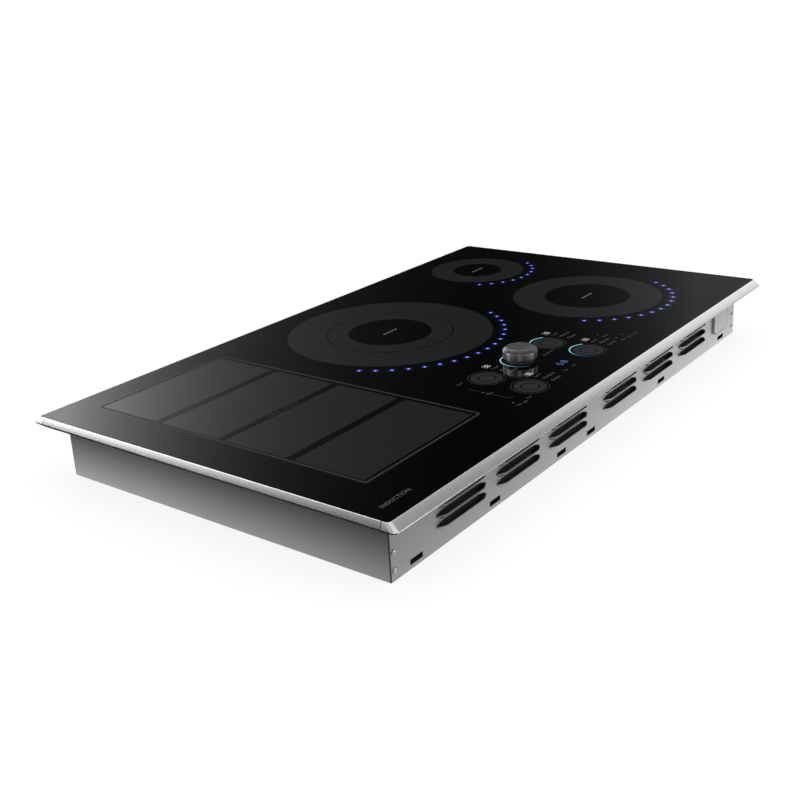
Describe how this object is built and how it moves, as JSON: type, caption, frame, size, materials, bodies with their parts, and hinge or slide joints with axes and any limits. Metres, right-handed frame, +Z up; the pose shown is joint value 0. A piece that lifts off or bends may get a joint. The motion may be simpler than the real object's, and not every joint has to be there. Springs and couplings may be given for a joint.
{
  "type": "built-in induction cooktop",
  "caption": "Built-in electric induction cooktop: black glass top with steel trims, shallow steel box with louvres, and a lift-off magnetic control knob.",
  "frame": {"origin": "centre of the underside of the steel box, at the base of the whole part", "axes": "+X to the user's right, +Y towards the back of the cooktop, +Z up"},
  "size_m": [0.9144, 0.5334, 0.0985],
  "materials": {
    "glass": "gloss black glass ceramic",
    "trim_steel": "fine brushed",
    "panel_steel": "satin",
    "galvanised": "dull zinc-coated sheet",
    "screw_steel": "bright",
    "foam_seal": "matte foam",
    "silicone": "matte",
    "mica": "matte",
    "aluminium": "satin",
    "copper": "wound copper wire",
    "circuit_board": "satin",
    "ceramic": "semi-gloss",
    "diffuser": "frosted",
    "knob_metal": "satin turned",
    "magnet": "nickel plated",
    "knob_plastic": "matte",
    "black_plastic": "matte"
  },
  "bodies": {
    "cooktop": {"access_plate": "panel_steel", "back_panel": "galvanised", "bottom_pan": "galvanised", "coil_carrier_flex_front": "mica", "coil_carrier_flex_rear": "mica", "coil_carrier_large": "mica", "coil_carrier_right_front": "mica", "coil_carrier_right_rear": "mica", "coil_flex_1": "copper", "coil_flex_2": "copper", "coil_flex_3": "copper", "coil_flex_4": "copper", "coil_large_inner": "copper", "coil_large_outer": "copper", "coil_right_front": "copper", "coil_right_rear": "copper", "coil_tray": "aluminium", "conduit_bushing": "black_plastic", "control_board": "circuit_board", "control_holder": "black_plastic", "countertop_seal": "foam_seal", "fan_housing_left": "black_plastic", "fan_housing_right": "black_plastic", "filter_board": "circuit_board", "front_panel": "panel_steel", "glass_adhesive": "silicone", "glass_top": "glass", "heatsink_left": "aluminium", "heatsink_right": "aluminium", "inverter_board_left": "circuit_board", "inverter_board_right": "circuit_board", "left_panel": "panel_steel", "light_guide_large": "diffuser", "light_guide_right_front": "diffuser", "light_guide_right_rear": "diffuser", "right_panel": "panel_steel", "screw_back_left_lower": "screw_steel", "screw_back_left_upper": "screw_steel", "screw_back_right_lower": "screw_steel", "screw_back_right_upper": "screw_steel", "screw_front_left_lower": "screw_steel", "screw_front_left_upper": "screw_steel", "screw_front_right_lower": "screw_steel", "screw_front_right_upper": "screw_steel", "support_frame": "galvanised", "temperature_sensor_large": "ceramic", "temperature_sensor_right_front": "ceramic", "temperature_sensor_right_rear": "ceramic", "terminal_block": "ceramic", "trim_back": "trim_steel", "trim_front": "trim_steel", "trim_left": "trim_steel", "trim_right": "trim_steel"},
    "knob_foot": {"knob_foot": "knob_plastic", "knob_magnet": "magnet"},
    "knob": {"knob_cap": "knob_metal"},
    "left_fan": {"fan_impeller_left": "black_plastic"},
    "right_fan": {"fan_impeller_right": "black_plastic"}
  },
  "joints": [
    {"name": "knob_lift", "type": "slide", "parent": "cooktop", "child": "knob_foot", "axis": [0, 0, 1], "range_m": [0, 0.06]},
    {"name": "knob_turn", "type": "hinge", "parent": "knob_foot", "child": "knob", "pos_m": [-0.024, -0.136, 0.08], "axis": [0, 0, 1], "continuous": true},
    {"name": "left_fan_spin", "type": "hinge", "parent": "cooktop", "child": "left_fan", "pos_m": [-0.23, 0.09, 0.0013], "axis": [0, 0, 1], "continuous": true},
    {"name": "right_fan_spin", "type": "hinge", "parent": "cooktop", "child": "right_fan", "pos_m": [0.2, 0.09, 0.0013], "axis": [0, 0, 1], "continuous": true}
  ]
}
